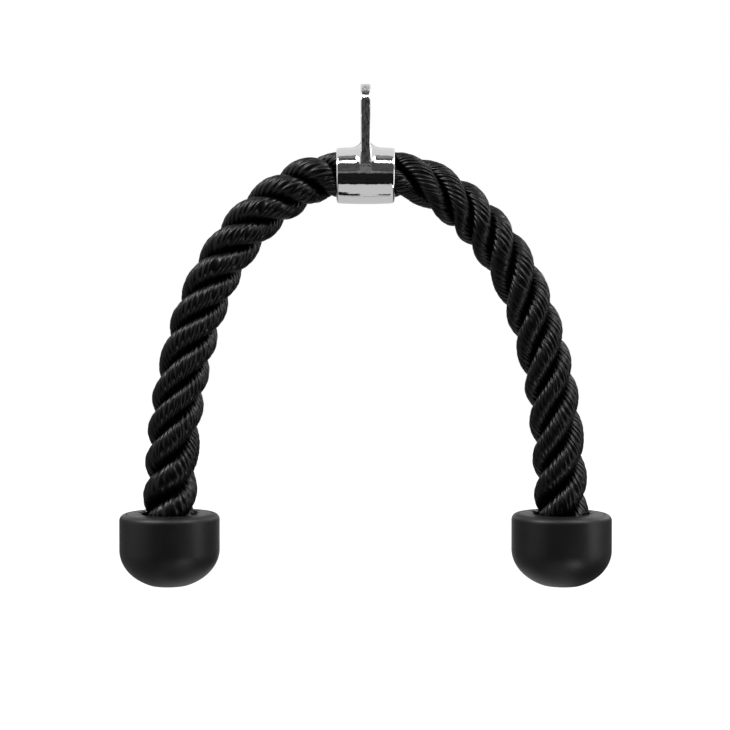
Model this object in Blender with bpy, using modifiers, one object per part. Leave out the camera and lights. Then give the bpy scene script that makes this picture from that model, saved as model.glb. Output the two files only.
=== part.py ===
"""Triceps rope attachment: a thick rope held in a chrome collar with an eye, and a stopper on each end.

Metres, +Z up. The origin is the centre of the eye, +X runs along the collar and -Y is the front.
The rope bends at three places on each leg. At each of them a ball end of the outer length sits in a
cup that is cut into the inner length.
"""

import math

import bmesh
import bpy
from mathutils import Vector

MM = 0.001

# Rope
ROPE_RADIUS = 19.0 * MM
ROPE_BEVEL_STEPS = 4
RING_SPACING = 9.0 * MM
ROUTE_STEP = 1.0 * MM
# One leg's route, in millimetres: out from the collar's mouth, and up from the collar's axis.
LEG_ROUTE = (
    (0.0, 0.0), (14.0, -1.4), (26.5, -7.3), (38.1, -14.7), (49.4, -23.0), (59.2, -32.9),
    (68.3, -43.4), (76.3, -54.8), (83.7, -66.5), (89.4, -79.2), (94.7, -92.1), (102.9, -118.7),
    (109.2, -145.9), (113.3, -173.4), (115.6, -201.2), (117.0, -226.0), (117.3, -240.0),
    (117.3, -260.0), (117.3, -290.0),
)
# How thick the rope is along the leg: (share of the way to the lid, share of the rope's radius)
THICKNESS_SHARES = ((0.0, 0.87), (0.1, 0.89), (0.35, 0.92), (0.7, 0.97), (1.0, 1.0))

# Bends, measured along the rope from the collar's mouth, with the most that each one turns
SPREAD_PLACE = 15.0 * MM
SWAY_PLACE = 64.0 * MM
FLEX_PLACE = 185.0 * MM
SPREAD_CLEAR_ANGLE = math.radians(44)
SWAY_CLEAR_ANGLE = math.radians(38)
FLEX_CLEAR_ANGLE = math.radians(38)
CUP_CLEARANCE = 0.6 * MM
BALL_STEPS = 6
CUP_SEGMENTS = 24

# Collar with its eye
COLLAR_LENGTH = 40.6 * MM
COLLAR_WALL = 2.8 * MM
COLLAR_BARREL = 0.5 * MM
BARREL_SHARES = (0.6, 0.3, 0.0, -0.3, -0.6)
COLLAR_RIM = 1.6 * MM
COLLAR_STEPS = 36
EYE_RISE = 46.8 * MM
EYE_RADIUS = 17.0 * MM
EYE_HOLE_RADIUS = 10.0 * MM
EYE_THICKNESS = 6.8 * MM
EYE_EDGE = 1.1 * MM
EYE_BLEND = 5.0 * MM
EYE_ARC_STEPS = 14
EYE_SINK = 0.2 * MM

# Stopper: lid and shell, round the washer that they hold
WASHER_RIM = 7.5 * MM
WASHER_GAP = 2.5 * MM
WASHER_THICKNESS = 2.5 * MM
CAP_WALL = 6.0 * MM
CAP_STRAIGHT = 25.2 * MM
CAP_DOME = 24.7 * MM
CAP_FLAT_SHARE = 0.4
CAP_RIM = 4.2 * MM
CAP_DROP = 236.5 * MM
CAP_STEPS = 32
CAP_FLOOR = 6.5 * MM
LID_THICKNESS = 6.0 * MM
LID_LEDGE = 1.2 * MM
LID_SPIGOT = 6.0 * MM
SEAM_CHAMFER = 0.5 * MM
DOME_STEPS = 8

# What grips the rope's end inside the stopper
GRIP_STEPS = 24
CRIMP_SQUEEZE = 1.5 * MM
FERRULE_WALL = 3.2 * MM
FERRULE_LENGTH = 18.0 * MM
CRIMP_DEPTH = 0.8 * MM
CRIMP_WIDTH = 3.0 * MM
CRIMP_SHARES = (0.25, 0.75)
PIN_RADIUS = 2.5 * MM
PIN_CHAMFER = 0.5 * MM
TWINE_RADIUS = 0.7 * MM
TWINE_TURNS = 4
TAIL_END = 0.8 * MM

# Fits
SEAT_GAP = 0.3 * MM
PIN_GAP = 0.3 * MM
OVERRUN = 2.0 * MM
WELD = 0.005 * MM


def bore_round(radius, steps):
    """The radius of a faceted bore whose flats just clear what it holds."""
    return (radius + SEAT_GAP) / math.cos(math.pi / steps)


# Sizes that follow from the ones above
SIDES = (("left", -1), ("right", 1))
AXIS_HEIGHT = -EYE_RISE
CAP_TOP_HEIGHT = AXIS_HEIGHT - CAP_DROP
COLLAR_BORE = bore_round(ROPE_RADIUS * THICKNESS_SHARES[0][1], COLLAR_STEPS)
COLLAR_RADIUS = COLLAR_BORE + COLLAR_WALL
CRIMPED_RADIUS = ROPE_RADIUS - CRIMP_SQUEEZE
WASHER_RADIUS = ROPE_RADIUS + WASHER_RIM
CAVITY_RADIUS = WASHER_RADIUS + WASHER_GAP
MOUTH_RADIUS = CAVITY_RADIUS + LID_LEDGE
CAP_RADIUS = CAVITY_RADIUS + CAP_WALL


def clear_scene():
    for old in list(bpy.data.objects):
        bpy.data.objects.remove(old)


def collection(name):
    found = bpy.data.collections.new(name)
    bpy.context.scene.collection.children.link(found)
    return found


def material(name, colour, roughness, metallic):
    made = bpy.data.materials.new(name)
    made.use_nodes = True
    shader = made.node_tree.nodes["Principled BSDF"]
    shader.inputs["Base Color"].default_value = (*colour, 1)
    shader.inputs["Roughness"].default_value = roughness
    shader.inputs["Metallic"].default_value = metallic
    made.diffuse_color = (*colour, 1)
    return made


def add_object(name, data, group, finish=None, place=(0, 0, 0), parent=None):
    """A new object in a collection, with its place given in its parent's frame."""
    thing = bpy.data.objects.new(name, data)
    group.objects.link(thing)
    thing.location = place
    thing.parent = parent
    if finish:
        data.materials.append(finish)
    bpy.context.view_layer.update()
    return thing


def shade_round(thing, angle=35):
    thing.data.shade_smooth()
    thing.data.set_sharp_from_angle(angle=math.radians(angle))


def as_cutter(thing):
    thing.hide_render = True
    thing.display_type = "WIRE"
    return thing


def combine(thing, other, operation):
    step = thing.modifiers.new(f"{operation.lower()} {other.name}", "BOOLEAN")
    step.operation = operation
    step.object = other
    step.solver = "EXACT"
    return step


def turned(name, profile, group, finish, steps, closed=True, place=(0, 0, 0), parent=None):
    """A body turned about Z from (radius, height) points that run down its outer side."""
    mesh = bpy.data.meshes.new(name)
    points = [(radius, 0, height) for radius, height in profile]
    edges = [(i, i + 1) for i in range(len(points) - 1)]
    if closed:
        edges.append((len(points) - 1, 0))
    mesh.from_pydata(points, edges, [])
    body = add_object(name, mesh, group, finish, place, parent)
    screw = body.modifiers.new("Turn", "SCREW")
    screw.steps = steps
    screw.render_steps = steps
    screw.use_merge_vertices = True
    screw.merge_threshold = WELD
    screw.use_smooth_shade = True
    return body


def mesh_from_curve(curve_object, name, group, finish, parent=None):
    """The evaluated curve as a closed mesh object with its caps welded on."""
    depsgraph = bpy.context.evaluated_depsgraph_get()
    mesh = bpy.data.meshes.new_from_object(curve_object.evaluated_get(depsgraph))
    mesh.name = name
    work = bmesh.new()
    work.from_mesh(mesh)
    bmesh.ops.remove_doubles(work, verts=work.verts, dist=WELD)
    bmesh.ops.recalc_face_normals(work, faces=work.faces)
    work.to_mesh(mesh)
    work.free()
    place = curve_object.matrix_world.copy()
    bpy.data.objects.remove(curve_object)
    thing = add_object(name, mesh, group, None, (0, 0, 0), parent)
    if finish:
        mesh.materials.clear()
        mesh.materials.append(finish)
    thing.matrix_world = place
    bpy.context.view_layer.update()
    return thing


def arc(centre, radius, start, end, steps):
    """Points on an arc, in degrees, both ends included."""
    points = []
    for i in range(steps + 1):
        angle = math.radians(start + (end - start) * i / steps)
        points.append((centre[0] + radius * math.cos(angle), centre[1] + radius * math.sin(angle)))
    return points


def smooth_route(points, step):
    """Evenly spaced points on the smooth curve that runs through all the given ones."""
    knots = [Vector((x, 0, z)) * MM for x, z in points]
    knots = [2 * knots[0] - Vector((knots[1].x, 0, 0))] + knots + [2 * knots[-1] - knots[-2]]
    fine = []
    for a, b, c, d in zip(knots, knots[1:], knots[2:], knots[3:]):
        before, here, after = (b - a).length, (c - b).length, (d - c).length
        leave = ((b - a) / before * here + (c - b) / here * before) / (before + here)
        arrive = ((c - b) / here * after + (d - c) / after * here) / (here + after)
        count = max(2, round(here / step))
        for i in range(count):
            t = i / count
            fine.append(
                (2 * t**3 - 3 * t**2 + 1) * b
                + (t**3 - 2 * t**2 + t) * here * leave
                + (3 * t**2 - 2 * t**3) * c
                + (t**3 - t**2) * here * arrive
            )
    fine.append(knots[-2])
    return fine


class Leg:
    """One leg of the rope: places along it are measured from the collar's mouth."""

    def __init__(self, side):
        self.side = side
        mouth = Vector((COLLAR_LENGTH / 2, 0, AXIS_HEIGHT))
        self.points = []
        for p in smooth_route(LEG_ROUTE, ROUTE_STEP):
            spot = mouth + p
            self.points.append(Vector((side * spot.x, 0, spot.z)))
        self.lengths = [0.0]
        for a, b in zip(self.points, self.points[1:]):
            self.lengths.append(self.lengths[-1] + (b - a).length)
        self.lid = self.length_at_height(CAP_TOP_HEIGHT)

    def length_at_height(self, height):
        for i, (a, b) in enumerate(zip(self.points, self.points[1:])):
            if a.z >= height >= b.z and a.z > b.z:
                share = (a.z - height) / (a.z - b.z)
                return self.lengths[i] + share * (self.lengths[i + 1] - self.lengths[i])
        raise ValueError("the rope's route ends above the stopper")

    def at(self, length):
        """The point on the route, and the direction of the rope there."""
        if length <= 0:
            return self.points[0] - Vector((self.side * -length, 0, 0)), Vector((self.side, 0, 0))
        for i in range(len(self.points) - 1):
            if self.lengths[i + 1] >= length:
                break
        share = (length - self.lengths[i]) / (self.lengths[i + 1] - self.lengths[i])
        near, far = self.points[max(i - 1, 0)], self.points[min(i + 2, len(self.points) - 1)]
        return self.points[i].lerp(self.points[i + 1], share), (far - near).normalized()

    def radius(self, length):
        """The rope's radius, thinner towards the collar and crimped in the ferrule."""
        share = min(max(length / self.lid, 0), 1)
        for (s0, r0), (s1, r1) in zip(THICKNESS_SHARES, THICKNESS_SHARES[1:]):
            if share <= s1:
                return ROPE_RADIUS * (r0 + (r1 - r0) * (share - s0) / (s1 - s0))
        return ROPE_RADIUS


def tube(name, points, radii, group, finish, pivot):
    """A tube through the points, made relative to the pivot that carries it."""
    curve = bpy.data.curves.new(name, "CURVE")
    curve.dimensions = "3D"
    curve.bevel_depth = ROPE_RADIUS
    curve.bevel_resolution = ROPE_BEVEL_STEPS
    curve.use_fill_caps = True
    spline = curve.splines.new("POLY")
    spline.points.add(len(points) - 1)
    origin = pivot.matrix_world.translation if pivot else Vector()
    for knot, point, radius in zip(spline.points, points, radii):
        knot.co = (*(point - origin), 1)
        knot.radius = radius / ROPE_RADIUS
    made = add_object(f"{name} curve", curve, group, None, origin)
    rope = mesh_from_curve(made, name, group, finish, pivot)
    shade_round(rope)
    return rope


def ball_end(leg, place):
    """Points and radii of the ball that starts an outer length of rope."""
    centre, direction = leg.at(place)
    radius = leg.radius(place)
    points, radii = [], []
    for i in range(1, BALL_STEPS):
        angle = math.radians(90) * i / BALL_STEPS
        points.append(centre - direction * radius * math.cos(angle))
        radii.append(radius * math.sin(angle))
    return points, radii


def run_of_rope(leg, start, end):
    """Points and radii along the route, both ends included."""
    count = max(2, round((end - start) / RING_SPACING))
    places = [start + (end - start) * i / count for i in range(count + 1)]
    return [leg.at(p)[0] for p in places], [leg.radius(p) for p in places]


def cup_setback(leg, place, angle):
    """How far short of the bend an inner length stops, so that the outer one can turn."""
    return leg.radius(place) * math.sin(angle)


def cut_cup(inner, leg, place, cutters):
    """Cuts the cup for the ball of the next length into the end of this one."""
    mesh = bpy.data.meshes.new(f"{inner.name} cup")
    work = bmesh.new()
    bmesh.ops.create_uvsphere(
        work, u_segments=CUP_SEGMENTS, v_segments=CUP_SEGMENTS // 2, radius=leg.radius(place) + CUP_CLEARANCE
    )
    work.to_mesh(mesh)
    work.free()
    sphere = add_object(mesh.name, mesh, cutters, None, leg.at(place)[0])
    combine(inner, as_cutter(sphere), "DIFFERENCE")


def rope_centre(legs, parts, cutters, finish):
    """The middle of the rope, which the collar grips."""
    points, radii = [], []
    for leg in legs:
        end = SPREAD_PLACE - cup_setback(leg, SPREAD_PLACE, SPREAD_CLEAR_ANGLE)
        half_points = [leg.at(end)[0], leg.at(0)[0]]
        half_radii = [leg.radius(end), leg.radius(0)]
        if leg.side > 0:
            half_points.reverse()
            half_radii.reverse()
        points += half_points
        radii += half_radii
    rope = tube("rope_centre", points, radii, parts, finish, None)
    for leg in legs:
        cut_cup(rope, leg, SPREAD_PLACE, cutters)
    return rope


def rope_length(name, leg, start, end, end_angle, pivot, parts, cutters, finish):
    """A length of rope from one bend to the next: a ball at its start and a cup at its end."""
    points, radii = ball_end(leg, start)
    along, thick = run_of_rope(leg, start, end - cup_setback(leg, end, end_angle))
    rope = tube(name, points + along, radii + thick, parts, finish, pivot)
    cut_cup(rope, leg, end, cutters)
    return rope


def rope_tail(name, leg, start, pivot, parts, finish):
    """The last length, which goes through the lid and is crimped inside the stopper."""
    points, radii = ball_end(leg, start)
    crimp_start = leg.lid + LID_THICKNESS + LID_SPIGOT + WASHER_THICKNESS + SEAT_GAP
    along, thick = run_of_rope(leg, start, crimp_start)
    tail_end = crimp_start + SEAT_GAP + FERRULE_LENGTH + TAIL_END + 2 * TWINE_RADIUS * TWINE_TURNS
    places = (crimp_start + SEAT_GAP, tail_end)
    along += [leg.at(p)[0] for p in places]
    thick += [CRIMPED_RADIUS for _ in places]
    return tube(name, points + along, radii + thick, parts, finish, pivot)


def collar_profile():
    """(radius, place along the collar) of the sleeve before boring: a slight barrel with rounded rims."""
    half = COLLAR_LENGTH / 2
    bore = COLLAR_BORE - OVERRUN
    edge = COLLAR_RADIUS - COLLAR_BARREL
    upper = arc((edge - COLLAR_RIM, half - COLLAR_RIM), COLLAR_RIM, 90, 0, 3)
    lower = arc((edge - COLLAR_RIM, COLLAR_RIM - half), COLLAR_RIM, 0, -90, 3)
    barrel = []
    for share in BARREL_SHARES:
        barrel.append((COLLAR_RADIUS - COLLAR_BARREL * share**2, share * half))
    return [(bore, half), *upper, *barrel, *lower, (bore, -half)]


def eye_outline(inset=0):
    """(across, up) points of the eye plate from the eye's centre, down to the collar's axis."""
    radius = EYE_RADIUS - inset
    foot = Vector((COLLAR_RADIUS - COLLAR_BARREL - inset, -EYE_RISE))
    tilt = math.degrees(math.atan2(foot.y, foot.x) + math.acos(radius / foot.length))
    return [tuple(foot), *arc((0, 0), radius, tilt, 180 - tilt, EYE_ARC_STEPS), (-foot.x, foot.y)]


def flat_plate(name, outline, half_thickness, group, finish):
    """A flat outline in the YZ plane, given thickness along X."""
    curve = bpy.data.curves.new(name, "CURVE")
    curve.dimensions = "2D"
    curve.fill_mode = "BOTH"
    curve.extrude = half_thickness
    spline = curve.splines.new("POLY")
    spline.points.add(len(outline) - 1)
    for knot, (across, up) in zip(spline.points, outline):
        knot.co = (across, up, 0, 1)
    spline.use_cyclic_u = True
    made = add_object(f"{name} curve", curve, group)
    made.rotation_euler = (math.radians(90), 0, math.radians(90))
    bpy.context.view_layer.update()
    return mesh_from_curve(made, name, group, finish)


def rod(name, radius, length, group, place, finish=None, parent=None, steps=COLLAR_STEPS):
    """A plain cylinder along X."""
    mesh = bpy.data.meshes.new(name)
    work = bmesh.new()
    bmesh.ops.create_cone(
        work, cap_ends=True, segments=steps, radius1=radius, radius2=radius, depth=length
    )
    work.to_mesh(mesh)
    work.free()
    made = add_object(name, mesh, group, finish, place, parent)
    made.rotation_euler = (0, math.radians(90), 0)
    return made


def collar_with_eye(parts, cutters, finish):
    """One casting: the sleeve, the eye plate and the round blend between them."""
    axis_place = (0, 0, AXIS_HEIGHT)
    collar = turned("collar_eye", collar_profile(), parts, finish, COLLAR_STEPS, place=axis_place)
    collar.rotation_euler = (0, math.radians(90), 0)

    plate = as_cutter(flat_plate("eye plate", eye_outline(), EYE_THICKNESS / 2, cutters, finish))
    edge = plate.modifiers.new("Rounded edge", "BEVEL")
    edge.width = EYE_EDGE
    edge.segments = 2
    edge.limit_method = "ANGLE"
    edge.angle_limit = math.radians(40)

    inside = COLLAR_RADIUS - COLLAR_RIM
    half = EYE_THICKNESS / 2
    surface = COLLAR_RADIUS - COLLAR_BARREL / 2
    left = arc((surface + EYE_BLEND, half + EYE_BLEND - EYE_SINK), EYE_BLEND, 180, 270, 5)
    left = [(inside, left[0][1]), *left, (surface + EYE_BLEND, half - EYE_EDGE)]
    right = [(radius, -place) for radius, place in reversed(left)]
    profile = left + right
    blend = turned("eye blend", profile, cutters, finish, COLLAR_STEPS, place=axis_place)
    blend.rotation_euler = (0, math.radians(90), 0)
    outline = eye_outline(EYE_SINK)
    wide = flat_plate("eye outline", outline, half + EYE_BLEND + OVERRUN, cutters, finish)
    combine(as_cutter(blend), as_cutter(wide), "INTERSECT")

    bore = rod("collar bore", COLLAR_BORE, COLLAR_LENGTH + OVERRUN, cutters, axis_place)
    hole = rod("eye hole", EYE_HOLE_RADIUS, EYE_THICKNESS + OVERRUN, cutters, (0, 0, 0))
    combine(collar, plate, "UNION")
    combine(collar, blend, "UNION")
    combine(collar, as_cutter(bore), "DIFFERENCE")
    combine(collar, as_cutter(hole), "DIFFERENCE")
    return collar


def lid_profile():
    """(radius, height) of the lid that lies in the shell's mouth: a disc with a spigot below it."""
    hole = bore_round(ROPE_RADIUS, CAP_STEPS)
    disc = MOUTH_RADIUS - SEAT_GAP
    spigot = CAVITY_RADIUS - SEAT_GAP
    return [
        (hole + SEAM_CHAMFER, 0),
        (disc - SEAM_CHAMFER, 0),
        (disc, -SEAM_CHAMFER),
        (disc, -LID_THICKNESS),
        (spigot, -LID_THICKNESS),
        (spigot, SEAM_CHAMFER - LID_THICKNESS - LID_SPIGOT),
        (spigot - SEAM_CHAMFER, -LID_THICKNESS - LID_SPIGOT),
        (hole, -LID_THICKNESS - LID_SPIGOT),
        (hole, -SEAM_CHAMFER),
    ]


def shell_profile():
    """(radius, height) of the domed shell, from the middle of its floor inside to its foot."""
    ledge = -LID_THICKNESS - SEAT_GAP
    foot = -CAP_STRAIGHT - CAP_DOME
    floor = foot + CAP_FLOOR
    flat = CAP_RADIUS * CAP_FLAT_SHARE
    last = math.degrees(math.acos(CAP_FLAT_SHARE))
    dome = []
    for radius, height in arc((0, 0), CAP_RADIUS, 0, last, DOME_STEPS):
        depth = height / math.sin(math.radians(last)) / CAP_RADIUS * CAP_DOME
        dome.append((radius, -CAP_STRAIGHT - depth))
    dome[-1] = (flat, foot)
    return [
        (0, floor),
        *arc((CAVITY_RADIUS - CAP_WALL, floor + CAP_WALL), CAP_WALL, -90, 0, 3),
        (CAVITY_RADIUS, ledge),
        (MOUTH_RADIUS, ledge),
        (MOUTH_RADIUS, -SEAM_CHAMFER),
        (MOUTH_RADIUS + SEAM_CHAMFER, 0),
        *arc((CAP_RADIUS - CAP_RIM, -CAP_RIM), CAP_RIM, 90, 0, 4),
        *dome,
        (0, foot),
    ]


def washer_profile():
    """(radius, height) of the flat ring that carries the pull from the ferrule to the lid."""
    hole = bore_round(ROPE_RADIUS, GRIP_STEPS)
    return [
        (hole, 0),
        (WASHER_RADIUS, 0),
        (WASHER_RADIUS, -WASHER_THICKNESS),
        (hole, -WASHER_THICKNESS),
    ]


def ferrule_profile():
    """(radius, height) of the crimped ring, with a groove where each jaw pressed it."""
    bore = bore_round(CRIMPED_RADIUS, GRIP_STEPS)
    outside = bore + FERRULE_WALL
    points = [(bore, 0), (outside, 0)]
    for share in CRIMP_SHARES:
        middle = -FERRULE_LENGTH * share
        points += [
            (outside, middle + CRIMP_WIDTH / 2),
            (outside - CRIMP_DEPTH, middle + CRIMP_WIDTH / 4),
            (outside - CRIMP_DEPTH, middle - CRIMP_WIDTH / 4),
            (outside, middle - CRIMP_WIDTH / 2),
        ]
    return points + [(outside, -FERRULE_LENGTH), (bore, -FERRULE_LENGTH)]


def whipping_profile():
    """(radius, height) of the twine's turns, side by side."""
    bore = bore_round(CRIMPED_RADIUS, GRIP_STEPS)
    points = [(bore, 0)]
    for turn in range(TWINE_TURNS):
        middle = -TWINE_RADIUS * (2 * turn + 1)
        points += arc((bore + TWINE_RADIUS, middle), TWINE_RADIUS, 90, -90, 4)[:-1]
    end = -2 * TWINE_RADIUS * TWINE_TURNS
    return points + [(bore + TWINE_RADIUS, end), (bore, end)]


def end_pin(name, place, parts, cutters, finish, pivot, ferrule, rope):
    """The cross pin, and its hole through the ferrule and the rope."""
    length = 2 * (CRIMPED_RADIUS + SEAT_GAP + FERRULE_WALL - CRIMP_DEPTH)
    pin = rod(name, PIN_RADIUS, length, parts, place, finish, pivot, steps=16)
    edge = pin.modifiers.new("Chamfer", "BEVEL")
    edge.width = PIN_CHAMFER
    edge.segments = 1
    edge.limit_method = "ANGLE"
    edge.angle_limit = math.radians(40)
    hole = rod(
        f"{name} hole", PIN_RADIUS + PIN_GAP, length + OVERRUN, cutters, place, None, pivot, steps=16
    )
    combine(ferrule, as_cutter(hole), "DIFFERENCE")
    combine(rope, hole, "DIFFERENCE")
    return pin


def stopper(name, leg, rope, pivot, parts, cutters, finishes):
    """The lid, the shell and the fastening inside, all fixed to the end of one leg."""
    origin = pivot.matrix_world.translation
    top = leg.at(leg.lid)[0] - origin
    place = (top.x, 0, top.z)
    turned(f"{name}_cap_lid", lid_profile(), parts, finishes["rubber"], CAP_STEPS, True, place, pivot)
    turned(f"{name}_cap_shell", shell_profile(), parts, finishes["rubber"], CAP_STEPS, False, place, pivot)

    depth = LID_THICKNESS + LID_SPIGOT + SEAT_GAP
    washer_place = (top.x, 0, top.z - depth)
    turned(f"{name}_washer", washer_profile(), parts, finishes["steel"], GRIP_STEPS, True, washer_place, pivot)

    depth += WASHER_THICKNESS + SEAT_GAP
    ferrule_place = (top.x, 0, top.z - depth)
    ferrule = turned(
        f"{name}_ferrule", ferrule_profile(), parts, finishes["steel"], GRIP_STEPS, True, ferrule_place, pivot
    )
    pin_place = (top.x, 0, top.z - depth - FERRULE_LENGTH / 2)
    end_pin(f"{name}_end_pin", pin_place, parts, cutters, finishes["steel"], pivot, ferrule, rope)

    depth += FERRULE_LENGTH + SEAT_GAP
    twine_place = (top.x, 0, top.z - depth)
    turned(
        f"{name}_whipping", whipping_profile(), parts, finishes["twine"], GRIP_STEPS, True, twine_place, pivot
    )


def pivot_at(name, place, group, parent=None):
    """An empty on a bend, which carries everything past it."""
    origin = parent.matrix_world.translation if parent else Vector()
    return add_object(name, None, group, None, place - origin, parent)


def leg_of_rope(name, leg, parts, cutters, finishes):
    """One leg: three lengths of rope on their pivots, and the stopper on the last one."""
    spread = pivot_at(f"{name} spread pivot", leg.at(SPREAD_PLACE)[0], parts)
    sway = pivot_at(f"{name} sway pivot", leg.at(SWAY_PLACE)[0], parts, spread)
    flex = pivot_at(f"{name} flex pivot", leg.at(FLEX_PLACE)[0], parts, sway)
    rope = finishes["rope"]
    rope_length(
        f"rope_{name}_neck", leg, SPREAD_PLACE, SWAY_PLACE, SWAY_CLEAR_ANGLE, spread, parts, cutters, rope
    )
    rope_length(
        f"rope_{name}_upper", leg, SWAY_PLACE, FLEX_PLACE, FLEX_CLEAR_ANGLE, sway, parts, cutters, rope
    )
    tail = rope_tail(f"rope_{name}_lower", leg, FLEX_PLACE, flex, parts, rope)
    stopper(name, leg, tail, flex, parts, cutters, finishes)


def main():
    clear_scene()
    parts = collection("triceps_rope_attachment")
    cutters = collection("cutters")
    finishes = {
        "chrome": material("chrome", (0.78, 0.78, 0.79), 0.07, 1.0),
        "rope": material("black_rope", (0.014, 0.014, 0.015), 0.55, 0.0),
        "rubber": material("black_rubber", (0.022, 0.022, 0.023), 0.5, 0.0),
        "steel": material("zinc_steel", (0.55, 0.55, 0.56), 0.32, 1.0),
        "twine": material("whipping_twine", (0.04, 0.04, 0.045), 0.7, 0.0),
    }
    collar_with_eye(parts, cutters, finishes["chrome"])
    legs = [Leg(side) for _, side in SIDES]
    rope_centre(legs, parts, cutters, finishes["rope"])
    for (name, _), leg in zip(SIDES, legs):
        leg_of_rope(name, leg, parts, cutters, finishes)
        print(f"{name} leg: {leg.lid / MM:.1f} mm from the collar's mouth to the lid")


main()
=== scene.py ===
"""Triceps rope attachment: the laid rope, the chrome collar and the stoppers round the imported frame."""

import math

import bmesh
import bpy
from bpy.props import FloatProperty, FloatVectorProperty, IntProperty, PointerProperty
from mathutils import Matrix, Vector, noise


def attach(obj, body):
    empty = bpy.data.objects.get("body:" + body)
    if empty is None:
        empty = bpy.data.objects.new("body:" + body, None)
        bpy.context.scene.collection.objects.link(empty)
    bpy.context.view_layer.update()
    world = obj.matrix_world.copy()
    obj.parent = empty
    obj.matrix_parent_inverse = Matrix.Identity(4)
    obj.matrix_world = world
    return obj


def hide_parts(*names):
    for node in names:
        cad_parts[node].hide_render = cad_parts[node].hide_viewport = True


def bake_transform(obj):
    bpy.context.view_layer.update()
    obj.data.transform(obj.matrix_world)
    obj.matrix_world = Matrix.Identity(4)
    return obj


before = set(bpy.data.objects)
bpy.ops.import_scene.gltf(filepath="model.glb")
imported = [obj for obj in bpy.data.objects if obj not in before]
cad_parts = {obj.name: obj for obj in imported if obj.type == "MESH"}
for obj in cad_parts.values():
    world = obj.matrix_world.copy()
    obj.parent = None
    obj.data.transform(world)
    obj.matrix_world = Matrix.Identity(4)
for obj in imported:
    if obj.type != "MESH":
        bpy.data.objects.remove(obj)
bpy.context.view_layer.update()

bl_info = {
    "name": "Triceps rope attachment",
    "version": (1, 0, 0),
    "blender": (4, 5, 0),
    "location": "3D View > Sidebar > Rope",
    "description": "Builds a cable machine's rope handle: laid rope, chrome collar and rubber stoppers",
    "category": "Add Mesh",
}

MM = 0.001
SIDES = (("left", -1), ("right", 1))
ALONG_COLLAR = Vector((1, 0, 0))
UP = Vector((0, 0, 1))
WHITE = (1, 1, 1, 1)
HALF_UNIT = 0.5

# One leg's route, in millimetres: out from the collar's mouth, and up from the collar's axis
LEG_ROUTE = (
    (0.0, 0.0), (14.0, -1.4), (26.5, -7.3), (38.1, -14.7), (49.4, -23.0), (59.2, -32.9),
    (68.3, -43.4), (76.3, -54.8), (83.7, -66.5), (89.4, -79.2), (94.7, -92.1), (102.9, -118.7),
    (109.2, -145.9), (113.3, -173.4), (115.6, -201.2), (117.0, -226.0), (117.3, -240.0),
    (117.3, -260.0), (117.3, -290.0),
)
# Where grooves cross each leg's outer and inner edge: the first one's number, then places in millimetres
GROOVES = {
    "left": (
        (0, (12.7, 35.5, 61.8, 87.4, 113.7, 141.6, 164.9, 195.0, 217.6, 240.0, 262.9, 287.8)),
        (0, (30.4, 50.7, 76.2, 102.5, 126.2, 150.6, 175.1, 199.2, 223.8, 258.0)),
    ),
    "right": (
        (0, (13.1, 40.2, 63.7, 87.0, 112.0, 138.9, 164.9, 188.3, 212.8, 244.5, 271.9)),
        (-1, (3.0, 35.9, 58.6, 76.8, 100.5, 130.8, 154.7, 184.5, 207.1, 233.9, 258.9)),
    ),
}
LAY_SPAN = 6.0 * MM
LAY_SPAN_SHARES = (-1.0, -0.6, -0.2, 0.2, 0.6, 1.0)
LAY_ROUNDS = 3
# The rope's radius from the collar's mouth to the lid: shares of the way, and of the full radius
THICKNESS_SHARES = ((0.0, 0.87), (0.1, 0.89), (0.35, 0.92), (0.7, 0.97), (1.0, 1.0))
ROUTE_STEP = 1.0 * MM

# Heights of the collar's axis and the stoppers' tops, from the middle of the eye
EYE_RISE = 46.8 * MM
CAP_DROP = 236.5 * MM
AXIS_HEIGHT = -EYE_RISE
CAP_TOP_HEIGHT = AXIS_HEIGHT - CAP_DROP

# Where the rope is parted into pieces and where each bend starts and ends, along the rope
NECK_END = 39.0 * MM
UPPER_END = 92.0 * MM
SPREAD_BEND = (1.0 * MM, 37.0 * MM)
SWAY_BEND = (41.0 * MM, 89.0 * MM)
FLEX_BEND = (120.0 * MM, 250.0 * MM)
CRIMP_REACH = 14.8 * MM
TAIL_REACH = 39.5 * MM
CRIMPED_SHARE = 0.91
CRIMP_EASE = 3.0 * MM

# A strand's section, as shares of the rope's radius, and a yarn's ridge across its width
STRANDS = 3
STRAND_DEPTH_SHARE = 0.46
STRAND_WIDTH_SHARE = 0.55
STRAND_PARTING = 0.35 * MM
CORNER_POWER = 8
YARN_SHARES = (0.0, 0.58, 0.9, 1.0, 0.9, 0.58)
YARN_SLANT_SHARE = 1.12
YARN_SWAY_SHARE = 0.6
STRAY_REACH = 12.0 * MM
RING_STEP = 1.6 * MM
END_RING = 0.05 * MM
UV_MAP = "Lay"
UV_STEP = 2.0 * MM
WELD = 0.002 * MM
# How far apart in the noise each yarn, strand and leg is read, and the sway from the stray
YARN_SEED = 3.7
STRAND_SEED = 11.3
LEG_SEED = 5.1
SWAY_SEED = (9.1, 4.3, 2.7)
SWAY_SPAN_SHARE = 0.7

# The frayed yarn ends round the hole in each lid
TUFTS = 34
TUFT_SIDES = 6
TUFT_RADIUS = 0.5 * MM
TUFT_TAPER = 5
TUFT_SINK = 1.2 * MM
TUFT_LEAN = 68
TUFT_LEAN_SPREAD = 30
TUFT_SEED = (2.3, 7.7, 1.9)

# The two noises of the grain: its output, its scale's name, detail and roughness
GRAIN_NOISES = (("Height", "Grain Scale", 3.0, 0.6), ("Mottle", "Mottle Scale", 4.0, 0.55))
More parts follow.
